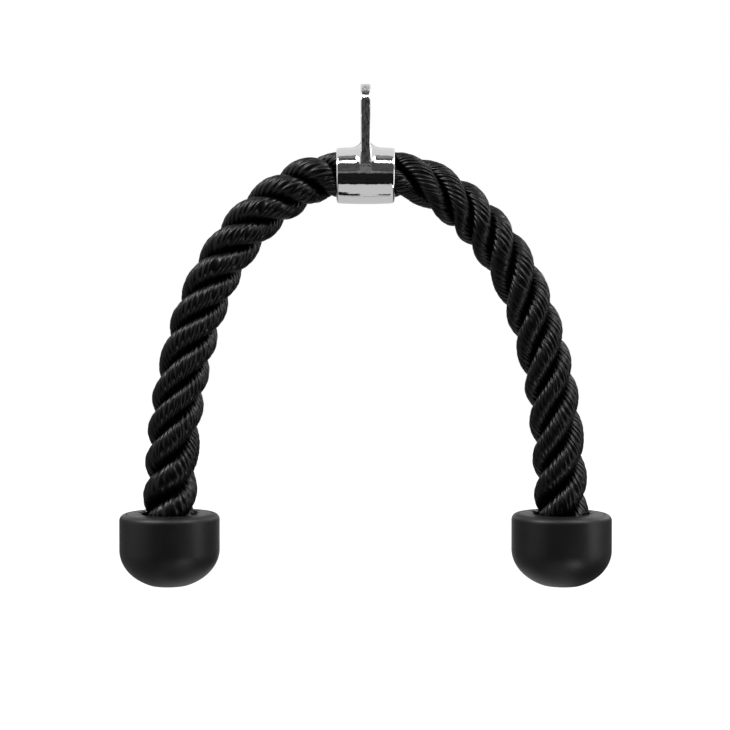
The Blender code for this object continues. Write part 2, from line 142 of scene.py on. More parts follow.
# Finishes: scales of fine grain and broad mottle, roughness from and to, depth and strength of bumps, and
# for some how much darker or paler they are in their mottling, their gloss and how the grain is stretched
YARN_LOOK = {"grain": (900.0, 160.0), "roughness": (0.38, 0.23), "depth": 0.25 * MM, "strength": 0.3}
CHROME_LOOK = {"grain": (1400.0, 60.0), "roughness": (0.02, 0.11), "depth": 0.07 * MM, "strength": 1.0}
RUBBER_LOOK = {"grain": (1500.0, 90.0), "roughness": (0.38, 0.50), "depth": 0.08 * MM, "strength": 0.6}
RUBBER_LOOK.update(shade=1.7, gloss=0.24)
ZINC_LOOK = {"grain": (300.0, 120.0), "roughness": (0.25, 0.45), "depth": 0.05 * MM, "strength": 0.5}
ZINC_LOOK.update(shade=0.7, gloss=0.5, stretch=(1.0, 1.0, 12.0))
TWINE_LOOK = {"grain": (2200.0, 500.0), "roughness": (0.6, 0.6), "depth": 0.2 * MM, "strength": 0.7}
TWINE_LOOK.update(shade=2.0, gloss=0.5)
METAL = 1.0

# The filaments in a yarn: their twist, how many across it and along a step, and the mask of the paler ones
FILAMENT_TWIST = 0.35
FILAMENTS_ACROSS = 9.0
FILAMENTS_ALONG = 0.5
PALE_MASK = (5.0, -1.25)
YARN_GLOSS = 0.14
YARN_GLOSS_RANGE = (0.20, 0.02)

# The chrome's waves, and the pits and dull mottling on the eye plate's edge
WAVES_GRAIN = (260.0, 60.0)
PITS_GRAIN = (900.0, 60.0)
PITS_STRETCH = (1.0, 1.0, 0.3)
FINE_GRAIN_SHARE = 0.05
WORN_MASK = (6.0, -2.6)
EDGE_SKIN_SHARE = 0.35
WORN_CHROME_SHARE = 0.35

# The floor, the world's light on the object and in what the camera sees, and the lamps: place, size, power
FLOOR_REACH = 8.0
FLOOR_ROUGHNESS = 0.9
FLOOR_MIRRORED_SHARE = 0.6
SKY_STRENGTHS = (0.2, 1.0)
LAMP_AIM = (0.0, 0.0, -0.18)
LAMPS = (
    ("left lamp", (-0.60, -0.32, 0.60), 0.3, 3.6),
    ("right lamp", (0.50, -0.45, 0.92), 0.3, 4.2),
    ("back lamp", (0.8, 0.55, 0.25), 0.6, 2.0),
)

# Strips round the collar's axis that only reflections show: distance, degrees from and to, ends, strength
CARD_STEPS = 12
CARD_GRAIN = (60.0, 22.0)
BRIGHT_LEVEL = 1.0
DULL_SHARES = (-1.0, 3.0)
CARDS = (
    ("smear", 0.6, -94.0, -76.0, -0.160, -0.050, 0.01),
    ("smear end", 0.6, -94.0, -83.0, -0.050, -0.014, 0.02),
    ("far smear", 0.6, -93.0, -86.0, 0.040, 0.100, 0.12),
    ("paper edge", 0.6, -98.5, -96.0, -0.10, 0.10, 0.45),
    ("dark edge", 0.99, -41.0, -35.0, -0.9, 1.5, 0.003),
    ("dark card", 1.0, -41.0, 4.6, -0.9, 1.5, 0.014),
    ("low card", 1.0, 4.6, 12.0, -0.9, 1.5, 0.22),
    ("grey card", 1.0, 12.0, 49.0, -0.9, 1.5, 0.10),
    ("softbox", 1.0, 49.0, 57.5, -0.45, 0.45, 8.0),
    ("high card", 1.0, 57.5, 71.0, -0.45, 0.45, 0.13),
    ("top card", 1.0, 71.0, 84.0, -0.45, 0.45, 0.30),
    ("left top card", 1.0, 62.0, 77.0, -1.5, -0.45, 22.0),
    ("right top card", 1.0, 62.0, 77.0, 0.45, 1.3, 22.0),
    ("peg card", 0.98, 66.0, 86.0, -0.008, 0.008, 0.06),
    ("back card", 1.0, 158.0, 177.0, -0.2, 0.2, 0.02),
)
# Flat cards that only reflections show: middle, size, strength, and whether they stand upright
FLOOR_CARD_SIZE = (0.9, 2.4)
WALL_SIZE = (0.78, 2.1)
FLAT_CARDS = (
    ("side card", (1.12, -0.38, -0.20), (0.9, 0.16), 8.0, True),
    ("low glow", (0.40, -0.53, -0.735), (0.16, 0.25), 18.0, False),
    ("left floor card", (-0.7, 0.3, -0.74), FLOOR_CARD_SIZE, 0.35, False),
    ("left wall", (-0.95, 1.15, -0.33), WALL_SIZE, 0.25, True),
    ("right floor card", (0.7, 0.3, -0.74), FLOOR_CARD_SIZE, 0.12, False),
    ("right wall", (0.95, 1.15, -0.33), WALL_SIZE, 0.25, True),
)

# The whipping: twine wound in touching turns round the crimped rope, under the lid
TWINE_RADIUS = 0.7 * MM
TWINE_TURNS = 4
TWINE_PLIES = 3
TWINE_PLY_DEPTH = 0.1 * MM
TWINE_PLY_TWISTS = 14
TWINE_SEAT = 17.95 * MM
TWINE_DROP = 33.4 * MM
TWINE_SECTION = 18
TWINE_STEPS = 96

# How finely the turned pieces are cut
COLLAR_STEPS = 360
HOLE_STEPS = 96
STOPPER_STEPS = 144
MOUTH_STEPS = 4
RIM_STEPS = 8
SLEEVE_STEPS = 8
BLEND_STEPS = 12
EDGE_STEPS = 5
DOME_STEPS = 24
FOOT_SHARES = (0.75, 0.4)
SHARP_DEGREES = 40
SMOOTH_SIDES = 4

# The casting: its blend at the front as a share of that at the top, and how its plate's foot spreads
BLEND_FRONT_SHARE = 0.5
FOOT_SPREAD = 18
STATION_GAP = 4 * WELD
ANGLE_DIGITS = 3
CUT_OVERRUN = 2.0 * MM


def length_setting(name, description, default):
    """A length in metres that a user can change."""
    return FloatProperty(name=name, description=description, default=default, unit="LENGTH", precision=4)


def colour_setting(name, description, default):
    """A colour that a user can change."""
    return FloatVectorProperty(
        name=name, description=description, default=default, subtype="COLOR", size=3, min=0, max=1
    )


def share_setting(name, description, default):
    """A share from 0 to 1 that a user can change."""
    return FloatProperty(name=name, description=description, default=default, min=0, max=1, subtype="FACTOR")


class RopeSettings(bpy.types.PropertyGroup):
    """Sizes and colour of the laid rope."""

    radius: length_setting("Rope radius", "Radius of the rope at the stoppers", 19.0 * MM)
    lay_length: length_setting("Lay length", "Length of rope in which a strand turns once round", 75.5 * MM)
    yarns: IntProperty(name="Yarns", description="Yarns round each strand", default=15, min=8, max=60)
    yarn_depth: length_setting("Yarn depth", "Depth of the grooves between the yarns", 0.85 * MM)
    yarn_stray: length_setting("Yarn stray", "How far a yarn strays in and out", 0.35 * MM)
    tuft: length_setting("Tuft", "How far frayed yarns stand out at the stopper's lid", 3.4 * MM)
    colour: colour_setting("Yarn colour", "Colour of the yarns", (0.0011, 0.0011, 0.0012))
    worn_colour: colour_setting("Worn colour", "Colour of the paler filaments", (0.008, 0.008, 0.0084))


class CollarSettings(bpy.types.PropertyGroup):
    """Sizes and colour of the chrome collar with its eye."""

    length: length_setting("Collar length", "Length of the sleeve", 40.6 * MM)
    radius: length_setting("Collar radius", "Outer radius of the sleeve at its middle", 19.7 * MM)
    barrel: length_setting("Barrel", "How much thinner the sleeve is at its ends", 0.6 * MM)
    rim: length_setting("Rim", "Rounding of the sleeve's ends", 1.7 * MM)
    mouth: length_setting("Mouth", "Rounding of the bore's ends", 0.5 * MM)
    bore: length_setting("Bore", "Radius of the hole that holds the rope", 16.85 * MM)
    eye_radius: length_setting("Eye radius", "Outer radius of the eye plate", 17.0 * MM)
    eye_hole: length_setting("Eye hole", "Radius of the carabiner's hole", 10.0 * MM)
    eye_thickness: length_setting("Eye thickness", "Thickness of the eye plate", 6.8 * MM)
    eye_edge: length_setting("Eye edge", "Rounding of the plate's edges", 1.3 * MM)
    foot_stand: length_setting("Foot stand", "How far the plate's foot stands out of the sleeve", 0.4 * MM)
    blend_rise: length_setting("Blend rise", "How far the blend climbs up the plate at its top", 4.6 * MM)
    blend_run: length_setting("Blend run", "How far the blend runs along the sleeve at its top", 8.0 * MM)
    colour: colour_setting("Chrome colour", "Colour of the chrome plating", (0.62, 0.62, 0.63))


class StopperSettings(bpy.types.PropertyGroup):
    """Sizes and colour of the rubber stoppers."""

    radius: length_setting("Stopper radius", "Outer radius of the lid and the shell", 35.0 * MM)
    straight: length_setting("Straight", "Height of the straight wall", 25.2 * MM)
    dome: length_setting("Dome", "Height of the dome below the straight wall", 24.7 * MM)
    flat: share_setting("Flat", "Width of the dome's flat foot, as a share of the stopper's", 0.4)
    rim: length_setting("Rim", "Rounding of the shell's rim", 4.4 * MM)
    mouth: length_setting("Mouth", "Radius of the shell's mouth, which holds the lid", 30.2 * MM)
    cavity: length_setting("Cavity", "Radius of the space inside the shell", 29.0 * MM)
    floor: length_setting("Floor", "Thickness of the shell's floor", 6.5 * MM)
    lid: length_setting("Lid thickness", "Thickness of the lid's disc", 6.0 * MM)
    spigot: length_setting("Spigot", "Depth of the lid's spigot inside the shell", 6.0 * MM)
    hole: length_setting("Hole", "Radius of the rope's hole in the lid", 19.4 * MM)
    seam: length_setting("Seam", "Gap between the lid and the shell", 0.25 * MM)
    edge: length_setting("Edge", "Rounding of the seam's edges", 0.5 * MM)
    colour: colour_setting("Rubber colour", "Colour of the moulded rubber", (0.0058, 0.0058, 0.006))


class MetalSettings(bpy.types.PropertyGroup):
    """Colours of what grips the rope inside the stoppers."""

    zinc: colour_setting("Zinc colour", "Colour of the washer, ferrule and pin", (0.55, 0.55, 0.56))
    twine: colour_setting("Twine colour", "Colour of the whipping", (0.035, 0.033, 0.03))


class StageSettings(bpy.types.PropertyGroup):
    """The camera, the floor and the light."""

    camera_side: length_setting("Camera side", "How far right of the collar the camera stands", -0.0004)
    distance: length_setting("Distance", "How far the camera stands from the rope's plane", 1.026)
    camera_height: length_setting("Camera height", "Height of the camera", -0.1616)
    aim_height: length_setting("Aim height", "Height that the camera looks at", -0.1791)
    view_angle: FloatProperty(
        name="View angle", description="Width of the view", default=math.radians(28.0), subtype="ANGLE"
    )
    floor_height: length_setting("Floor height", "Height of the floor under the hanging rope", -0.75)
    floor_colour: colour_setting("Floor colour", "Colour of the floor", (0.4, 0.4, 0.4))


def smooth_route(points, step):
    """Evenly spaced points on the smooth curve that runs through all the given ones."""
    knots = [Vector((x, 0, z)) * MM for x, z in points]
    knots = [2 * knots[0] - Vector((knots[1].x, 0, 0))] + knots + [2 * knots[-1] - knots[-2]]
    fine = []
    for a, b, c, d in zip(knots, knots[1:], knots[2:], knots[3:]):
        before, here, after = (b - a).length, (c - b).length, (d - c).length
        leave = ((b - a) / before * here + (c - b) / here * before) / (before + here)
        arrive = ((c - b) / here * after + (d - c) / after * here) / (here + after)
        count = max(2, round(here / step))
        for i in range(count):
            t = i / count
            fine.append(
                (2 * t**3 - 3 * t**2 + 1) * b
                + (t**3 - 2 * t**2 + t) * here * leave
                + (3 * t**2 - 2 * t**3) * c
                + (t**3 - t**2) * here * arrive
            )
    fine.append(knots[-2])
    return fine


class Leg:
    """One leg of the rope: places along it are measured from the collar's mouth."""

    def __init__(self, side, collar_length):
        self.side = side
        mouth = Vector((collar_length / 2, 0, AXIS_HEIGHT))
        self.points = []
        for p in smooth_route(LEG_ROUTE, ROUTE_STEP):
            spot = mouth + p
            self.points.append(Vector((side * spot.x, 0, spot.z)))
        self.lengths = [0.0]
        for a, b in zip(self.points, self.points[1:]):
            self.lengths.append(self.lengths[-1] + (b - a).length)
        self.lid = self.length_at_height(CAP_TOP_HEIGHT)

    def length_at_height(self, height):
        """How far along the leg it comes down to a height."""
        for i, (a, b) in enumerate(zip(self.points, self.points[1:])):
            if a.z >= height >= b.z and a.z > b.z:
                share = (a.z - height) / (a.z - b.z)
                return self.lengths[i] + share * (self.lengths[i + 1] - self.lengths[i])
        raise ValueError("the rope's route ends above the stopper")

    def at(self, length):
        """The point on the route, and the direction of the rope there."""
        if length <= 0:
            return self.points[0] - Vector((self.side * -length, 0, 0)), Vector((self.side, 0, 0))
        for i in range(len(self.points) - 1):
            if self.lengths[i + 1] >= length:
                break
        share = (length - self.lengths[i]) / (self.lengths[i + 1] - self.lengths[i])
        near = self.points[max(i - 1, 0)]
        far = self.points[min(i + 2, len(self.points) - 1)]
        return self.points[i].lerp(self.points[i + 1], share), (far - near).normalized()

    def thickness(self, length):
        """The rope's radius as a share of its full radius: thinner at the collar and in the crimp."""
        crimp = self.lid + CRIMP_REACH
        if length > crimp:
            ease = min((length - crimp) / CRIMP_EASE, 1)
            return 1 + (CRIMPED_SHARE - 1) * ease
        share = min(max(length / self.lid, 0), 1)
        for (s0, r0), (s1, r1) in zip(THICKNESS_SHARES, THICKNESS_SHARES[1:]):
            if share <= s1:
                return r0 + (r1 - r0) * (share - s0) / (s1 - s0)
        return 1.0


class Lay:
    """How the strands turn round one leg, from where their grooves cross its outer and inner edges."""

    def __init__(self, grooves, lay_length):
        self.step = lay_length / STRANDS
        self.edges = [(first, [place * MM for place in places]) for first, places in grooves]

    def crossed(self, edge, place):
        """How many grooves have crossed an edge by a place, evened out over the span around it."""
        first, places = self.edges[edge]
        total = 0.0
        for share in LAY_SPAN_SHARES:
            spot = place + share * LAY_SPAN
            if spot <= places[0]:
                total += (spot - places[0]) / self.step
            elif spot >= places[-1]:
                total += len(places) - 1 + (spot - places[-1]) / self.step
            else:
                for i, (low, high) in enumerate(zip(places, places[1:])):
                    if low < spot <= high:
                        total += i + (spot - low) / (high - low)
        return first + total / len(LAY_SPAN_SHARES)

    def turns(self, place):
        """The strands' turn at a place, as their grooves cross the outer edge and the inner one."""
        sector = 2 * math.pi / STRANDS
        return sector * self.crossed(0, place) - sector / 2, sector * self.crossed(1, place)

    @staticmethod
    def direction(own, outer, inner):
        """Which way from the rope's middle a point lies, from its own angle among the strands."""
        direction = own + (outer + inner) / 2
        for _ in range(LAY_ROUNDS):
            share = (1 + math.cos(direction)) / 2
            direction = own + outer * share + inner * (1 - share)
        return direction


def placed(name, data):
    """A new object in the scene that holds a mesh, a lamp or a camera."""
    made = bpy.data.objects.new(name, data)
    bpy.context.scene.collection.objects.link(made)
    return made


def turn_to(holder, aim):
    """Turns a camera or a lamp to a place."""
    holder.rotation_euler = (Vector(aim) - holder.location).to_track_quat("-Z", "Y").to_euler()


def object_from(name, made, finish):
    """An object at the origin from a bmesh, with its material."""
    mesh = bpy.data.meshes.new(name)
    made.to_mesh(mesh)
    made.free()
    mesh.materials.append(finish)
    return placed(name, mesh)


def piece_from(name, made, finish):
    """A piece from a bmesh, smooth but for its end caps, with its material."""
    for face in made.faces:
        face.smooth = len(face.verts) <= SMOOTH_SIDES
    piece = object_from(name, made, finish)
    return piece


def feed(socket, value):
    """Gives an input its value, or a link from another socket."""
    if isinstance(value, bpy.types.NodeSocket):
        socket.id_data.links.new(value, socket)
    else:
        socket.default_value = value


def fill_in(node, **values):
    """Sets a node's settings and feeds its inputs, by name."""
    for name, value in values.items():
        if hasattr(node, name):
            setattr(node, name, value)
        else:
            feed(node.inputs[name.replace("_", " ")], value)
    return node


def add_node(tree, kind, **values):
    """A shader node, filled in by name."""
    return fill_in(tree.nodes.new(kind), **values)


def math_node(tree, operation, *values, clamp=False):
    """A Math node on sockets or numbers."""
    made = add_node(tree, "ShaderNodeMath", operation=operation, use_clamp=clamp)
    for socket, value in zip(made.inputs, values):
        feed(socket, value)
    return made.outputs[0]


def blend_colours(tree, factor, first, second):
    """A Mix node between two colours, led by a factor."""
    made = add_node(tree, "ShaderNodeMix", data_type="RGBA", Factor=factor, A=(*first, 1), B=(*second, 1))
    return made.outputs["Result"]


def shaded(colour, share):
    """A colour made darker or paler by a share."""
    return tuple(share * channel for channel in colour)


def new_material(name, colour, roughness, metallic=0.0):
    """A material of one colour, with its node tree and its shader."""
    made = bpy.data.materials.new(name)
    made.use_nodes = True
    made.diffuse_color = (*colour, 1)
    shader = made.node_tree.nodes["Principled BSDF"]
    fill_in(shader, Base_Color=(*colour, 1), Roughness=roughness, Metallic=metallic)
    return made, made.node_tree, shader


def grain_group():
    """Fine grain and broad mottling of a surface, as heights and masks."""
    name = "Surface grain"
    if name in bpy.data.node_groups:
        return bpy.data.node_groups[name]
    tree = bpy.data.node_groups.new(name, "ShaderNodeTree")
    tree.interface.new_socket("Vector", in_out="INPUT", socket_type="NodeSocketVector")
    for output, scale, _, _ in GRAIN_NOISES:
        tree.interface.new_socket(scale, in_out="INPUT", socket_type="NodeSocketFloat")
        tree.interface.new_socket(output, in_out="OUTPUT", socket_type="NodeSocketFloat")
    entry = tree.nodes.new("NodeGroupInput").outputs
    leave = tree.nodes.new("NodeGroupOutput").inputs
    for output, scale, detail, roughness in GRAIN_NOISES:
        made = add_node(tree, "ShaderNodeTexNoise", Detail=detail, Roughness=roughness)
        fill_in(made, Vector=entry["Vector"], Scale=entry[scale])
        feed(leave[output], made.outputs["Fac"])
    return tree


def add_grain(tree, vector, grain_scale, mottle_scale):
    """The grain group placed in a material: returns its height and its mottle."""
    made = add_node(tree, "ShaderNodeGroup", node_tree=grain_group(), Vector=vector)
    fill_in(made, Grain_Scale=grain_scale, Mottle_Scale=mottle_scale)
    return made.outputs["Height"], made.outputs["Mottle"]


def object_place(tree, stretch=None):
    """A point's place on the object, stretched when the grain is."""
    place = add_node(tree, "ShaderNodeTexCoord").outputs["Object"]
    if stretch:
        place = add_node(tree, "ShaderNodeMapping", Scale=stretch, Vector=place).outputs["Vector"]
    return place


def bump(tree, shader, height, look):
    """Raises a finish's surface by a height, as deep as its look says."""
    made = add_node(tree, "ShaderNodeBump", Distance=look["depth"], Strength=look["strength"], Height=height)
    fill_in(shader, Normal=made.outputs["Normal"])


def remap(tree, value, low, high):
    """A value from 0 to 1 turned into one from low to high."""
    return add_node(tree, "ShaderNodeMapRange", Value=value, To_Min=low, To_Max=high).outputs["Result"]


def yarn_material(settings):
    """Black filament yarn: fine filaments along each yarn, with paler ones here and there."""
    made, tree, shader = new_material("laid_yarn", settings.colour, YARN_LOOK["roughness"][0])
    lay = add_node(tree, "ShaderNodeUVMap", uv_map=UV_MAP).outputs["UV"]
    split = add_node(tree, "ShaderNodeSeparateXYZ", Vector=lay).outputs
    twisted = math_node(tree, "ADD", split["X"], math_node(tree, "MULTIPLY", split["Y"], FILAMENT_TWIST))
    across = math_node(tree, "MULTIPLY", twisted, FILAMENTS_ACROSS)
    along = math_node(tree, "MULTIPLY", split["Y"], FILAMENTS_ALONG)
    filament = add_node(tree, "ShaderNodeCombineXYZ", X=across, Y=along).outputs["Vector"]
    made_lines = add_node(tree, "ShaderNodeTexNoise", Scale=1.0, Detail=3.0, Roughness=0.65, Vector=filament)
    lines = made_lines.outputs["Fac"]

    _, mottle = add_grain(tree, object_place(tree), *YARN_LOOK["grain"])
    paleness = math_node(tree, "MULTIPLY", lines, mottle)
    pale = math_node(tree, "MULTIPLY_ADD", paleness, *PALE_MASK, clamp=True)
    colour = blend_colours(tree, pale, settings.colour, settings.worn_colour)
    fill_in(shader, Base_Color=colour, Roughness=remap(tree, lines, *YARN_LOOK["roughness"]))
    bump(tree, shader, lines, YARN_LOOK)
    edge_on = add_node(tree, "ShaderNodeLayerWeight", Blend=0.5).outputs["Facing"]
    fill_in(shader, Specular_IOR_Level=YARN_GLOSS)
    fill_in(shader, Specular_IOR_Level=remap(tree, edge_on, *YARN_GLOSS_RANGE))
    return made


def chrome_material(settings):
    """Bright chrome plating with faint waves, and a pitted, mottled skin on the eye plate's edge."""
    plain = CHROME_LOOK["roughness"][0]
    made, tree, shader = new_material("bright_chrome", settings.colour, plain, METAL)
    place = object_place(tree)
    grain, mottle = add_grain(tree, place, *CHROME_LOOK["grain"])
    waves, _ = add_grain(tree, place, *WAVES_GRAIN)
    pits, _ = add_grain(tree, object_place(tree, PITS_STRETCH), *PITS_GRAIN)

    split = add_node(tree, "ShaderNodeSeparateXYZ", Vector=place).outputs
    skin_end = settings.eye_thickness / 2 - settings.eye_edge / 2
    on_edge = math_node(tree, "LESS_THAN", math_node(tree, "ABSOLUTE", split["X"]), skin_end)
    skin_start = settings.radius * EDGE_SKIN_SHARE - EYE_RISE
    over_sleeve = math_node(tree, "GREATER_THAN", split["Z"], skin_start)
    skin = math_node(tree, "MULTIPLY", math_node(tree, "MULTIPLY", on_edge, over_sleeve), pits)
    surface = math_node(tree, "ADD", math_node(tree, "MULTIPLY", grain, FINE_GRAIN_SHARE), waves)
    bump(tree, shader, math_node(tree, "ADD", surface, skin), CHROME_LOOK)
    worn = math_node(tree, "MULTIPLY_ADD", skin, *WORN_MASK, clamp=True)
    colour = blend_colours(tree, worn, settings.colour, shaded(settings.colour, WORN_CHROME_SHARE))
    fill_in(shader, Base_Color=colour, Roughness=remap(tree, mottle, *CHROME_LOOK["roughness"]))
    return made


def mottled_material(name, colour, look, metallic=0.0):
    """A finish of fine grain that is darker or paler in its mottling."""
    made, tree, shader = new_material(name, colour, look["roughness"][0], metallic)
    grain, mottle = add_grain(tree, object_place(tree, look.get("stretch")), *look["grain"])
    mixed = blend_colours(tree, mottle, colour, shaded(colour, look["shade"]))
    fill_in(shader, Base_Color=mixed, Roughness=remap(tree, mottle, *look["roughness"]))
    bump(tree, shader, grain, look)
    fill_in(shader, Specular_IOR_Level=look["gloss"])
    return made


def arc(centre, radius, start, end, steps):
    """Points on an arc, in degrees, both ends included."""
    points = []
    for i in range(steps + 1):
        angle = math.radians(start + (end - start) * i / steps)
        points.append((centre[0] + radius * math.cos(angle), centre[1] + radius * math.sin(angle)))
    return points


def spun(profile, axis, centre, steps):
    """A bmesh turned a full circle from (radius, place along the axis) points that close on themselves."""
    made = bmesh.new()
    index = made.verts.layers.int.new("station")
    across = UP if axis.x else ALONG_COLLAR
    ring = []
    for i, (radius, place) in enumerate(profile):
        vert = made.verts.new(centre + across * radius + axis * place)
        vert[index] = i
        ring.append(vert)
    edges = []
    for first, second in zip(ring, ring[1:] + ring[:1]):
        edges.append(made.edges.new((first, second)))
    bmesh.ops.spin(
        made, geom=ring + edges, cent=centre, axis=axis, angle=2 * math.pi, steps=steps, use_merge=True
    )
    close_up(made)
    return made


def close_up(made):
    """Welds doubles, drops slivers and loose edges, and turns every face outwards."""
    bmesh.ops.remove_doubles(made, verts=made.verts, dist=WELD)
    bmesh.ops.dissolve_degenerate(made, edges=made.edges, dist=WELD)
    loose = [edge for edge in made.edges if not edge.link_faces]
    bmesh.ops.delete(made, geom=loose, context="EDGES")
    made.normal_update()
    bmesh.ops.recalc_face_normals(made, faces=made.faces)


def casting_section(settings, height, angle):
    """Half of the casting's section, (radius, place), where the plate stands this high over the sleeve."""
    half = settings.length / 2
    plate = settings.eye_thickness / 2
    end_radius = settings.radius - settings.barrel

    def sleeve(place):
        return settings.radius - settings.barrel * (place / half) ** 2

    points = [(settings.bore, 0.0), (settings.bore, -half / 2)]
    mouth = settings.mouth
    points += arc((settings.bore + mouth, mouth - half), mouth, 180, 270, MOUTH_STEPS)
    rim = settings.rim
    points += arc((end_radius - rim, rim - half), rim, 270, 360, RIM_STEPS)
    top_share = BLEND_FRONT_SHARE + (1 - BLEND_FRONT_SHARE) * math.sin(angle) ** 2
    blend_rise = settings.blend_rise * top_share
    blend_run = settings.blend_run * top_share
    start = rim - half
    end = -plate - blend_run
    for i in range(1, SLEEVE_STEPS + 1):
        place = start + (end - start) * i / SLEEVE_STEPS
        points.append((sleeve(place), place))
    rise = min(blend_rise, height)
    run = blend_run * rise / blend_rise
    for i in range(1, BLEND_STEPS + 1):
        share = i / BLEND_STEPS
        turn = share * math.pi / 2
        place = -plate - run * (1 - math.sin(turn)) - (blend_run - run) * (1 - share)
        points.append((sleeve(place) + rise * (1 - math.cos(turn)), place))
    edge = min(settings.eye_edge, (height - rise) / 2)
    foot = sleeve(plate)
    points.append((foot + (rise + height - edge) / 2, -plate))
    points += arc((foot + height - edge, edge - plate), edge, 270, 360, EDGE_STEPS)
    points.append((foot + height, 0.0))
    return points


def plate_height(settings, angle):
    """How far the plate's outline stands over the sleeve at an angle round the collar, from the front."""
    foot = Vector((settings.radius + settings.foot_stand, -EYE_RISE))
    tilt = math.atan2(foot.y, foot.x) + math.acos(settings.eye_radius / foot.length)
    side = min(angle, math.pi - angle)
    if side <= 0:
        return 0.0
    touch_depth = settings.eye_radius * math.cos(tilt)
    touch_rise = EYE_RISE + settings.eye_radius * math.sin(tilt)
    if side < math.atan2(touch_rise, touch_depth):
        reach = (settings.eye_radius + EYE_RISE * math.sin(tilt)) / math.cos(side - tilt)
    else:
        inner = settings.eye_radius**2 - (EYE_RISE * math.cos(side)) ** 2
        reach = EYE_RISE * math.sin(side) + math.sqrt(max(inner, 0))
    ease = min(math.degrees(side) / FOOT_SPREAD, 1)
    return max(reach - settings.radius, 0.0) * ease**2 * (3 - 2 * ease)


def cast_collar(settings, finish):
    """The sleeve, its eye plate and the blend between them, as one skin with the eye's hole cut through."""
    count = len(casting_section(settings, 0.0, 0.0))
    centre = Vector((0, 0, AXIS_HEIGHT))
    stations = [(settings.radius + i * STATION_GAP, 0.0) for i in range(2 * count - 2)]
    made = spun(stations, ALONG_COLLAR, centre, COLLAR_STEPS)
    index = made.verts.layers.int["station"]
    sections = {}
    for vert in made.verts:
        angle = math.atan2(vert.co.z - AXIS_HEIGHT, -vert.co.y)
        key = round(math.degrees(angle), ANGLE_DIGITS)
        if key not in sections:
            sections[key] = casting_section(settings, plate_height(settings, angle), angle)
        station = vert[index]
        if station < count:
            radius, place = sections[key][station]
        else:
            radius, place = sections[key][2 * count - 2 - station]
            place = -place
        vert.co = Vector((place, -radius * math.cos(angle), AXIS_HEIGHT + radius * math.sin(angle)))
    close_up(made)
    collar = piece_from("collar_casting", made, finish)

    plate = settings.eye_thickness / 2
    edge = settings.eye_edge
    hole = settings.eye_hole
    over = CUT_OVERRUN
    outline = [(0.0, -plate - over), (hole + edge, -plate - over)]
    outline += arc((hole + edge, edge - plate), edge, 270, 180, EDGE_STEPS)
    outline += arc((hole + edge, plate - edge), edge, 180, 90, EDGE_STEPS)
    outline += [(hole + edge, plate + over), (0.0, plate + over)]
    plug = spun(outline, ALONG_COLLAR, Vector(), HOLE_STEPS)
    cutter = piece_from("eye_cutter", plug, finish)
    cut = collar.modifiers.new("Eye hole", "BOOLEAN")
    cut.operation = "DIFFERENCE"
    cut.solver = "EXACT"
    cut.object = cutter
    bpy.context.view_layer.update()
    depsgraph = bpy.context.evaluated_depsgraph_get()
    mesh = bpy.data.meshes.new_from_object(collar.evaluated_get(depsgraph))
    collar.modifiers.clear()
    collar.data = mesh
    bpy.data.objects.remove(cutter)
    mesh.shade_smooth()
    mesh.set_sharp_from_angle(angle=math.radians(SHARP_DEGREES))
    even = collar.modifiers.new("Even shading", "WEIGHTED_NORMAL")
    even.keep_sharp = True
    return collar


def lid_profile(settings):
    """(radius, height) of the lid's disc and spigot below the stopper's top."""
    edge = settings.edge
    disc = settings.mouth - settings.seam
    spigot = settings.cavity - settings.seam
    foot = -settings.lid - settings.spigot
    return [
        *arc((settings.hole + edge, -edge), edge, 180, 90, EDGE_STEPS),
        *arc((disc - edge, -edge), edge, 90, 0, EDGE_STEPS),
        (disc, -settings.lid),
        (spigot, -settings.lid),
        (spigot, edge + foot),
        (spigot - edge, foot),
        (settings.hole, foot),
    ]


def shell_profile(settings):
    """(radius, height) of the domed shell, closed along its axis."""
    edge = settings.edge
    ledge = -settings.lid - settings.seam
    foot = -settings.straight - settings.dome
    floor = foot + settings.floor
    corner = settings.radius - settings.cavity
    last = math.degrees(math.acos(settings.flat))
    dome = []
    for radius, height in arc((0, 0), settings.radius, 0, last, DOME_STEPS):
        depth = height / math.sin(math.radians(last)) / settings.radius * settings.dome
        dome.append((radius, -settings.straight - depth))
    round_foot = []
    for share in FOOT_SHARES:
        round_foot.append((dome[-1][0] * share, foot))
    return [
        (0.0, floor),
        *arc((settings.cavity - corner, floor + corner), corner, -90, 0, RIM_STEPS),
        (settings.cavity, ledge),
        (settings.mouth, ledge),
        *arc((settings.mouth + edge, -edge), edge, 180, 90, EDGE_STEPS),
        *arc((settings.radius - settings.rim, -settings.rim), settings.rim, 90, 0, RIM_STEPS),
        *dome,
        *round_foot,
        (0.0, foot),
    ]


def strand_outline(angle, radius, parting):
    """Where a strand's surface lies across the rope at an angle round the strand, and its normal there."""
    depth = radius * STRAND_DEPTH_SHARE
    width = radius * STRAND_WIDTH_SHARE
    centre = radius - depth
    out, side = depth * math.cos(angle), width * math.sin(angle)
    half_sector = math.pi / STRANDS
    room = centre * math.sin(half_sector) - parting
    reach = abs(side) * math.cos(half_sector) - out * math.sin(half_sector)
    shrink = (1 + max(reach / room, 0) ** CORNER_POWER) ** (-1 / CORNER_POWER)
    normal = Vector((math.cos(angle) / depth, math.sin(angle) / width)).normalized()
    return Vector((centre + out * shrink, side * shrink)), normal


def ring_places(start, end):
    """Where a piece's rings lie: one is close to each end, so that the end shades like the rest."""
    rings = round((end - start) / RING_STEP)
    places = []
    for ring in range(1, rings):
        places.append(start + (end - start) * ring / rings)
    return [start, start + END_RING, *places, end - END_RING, end]


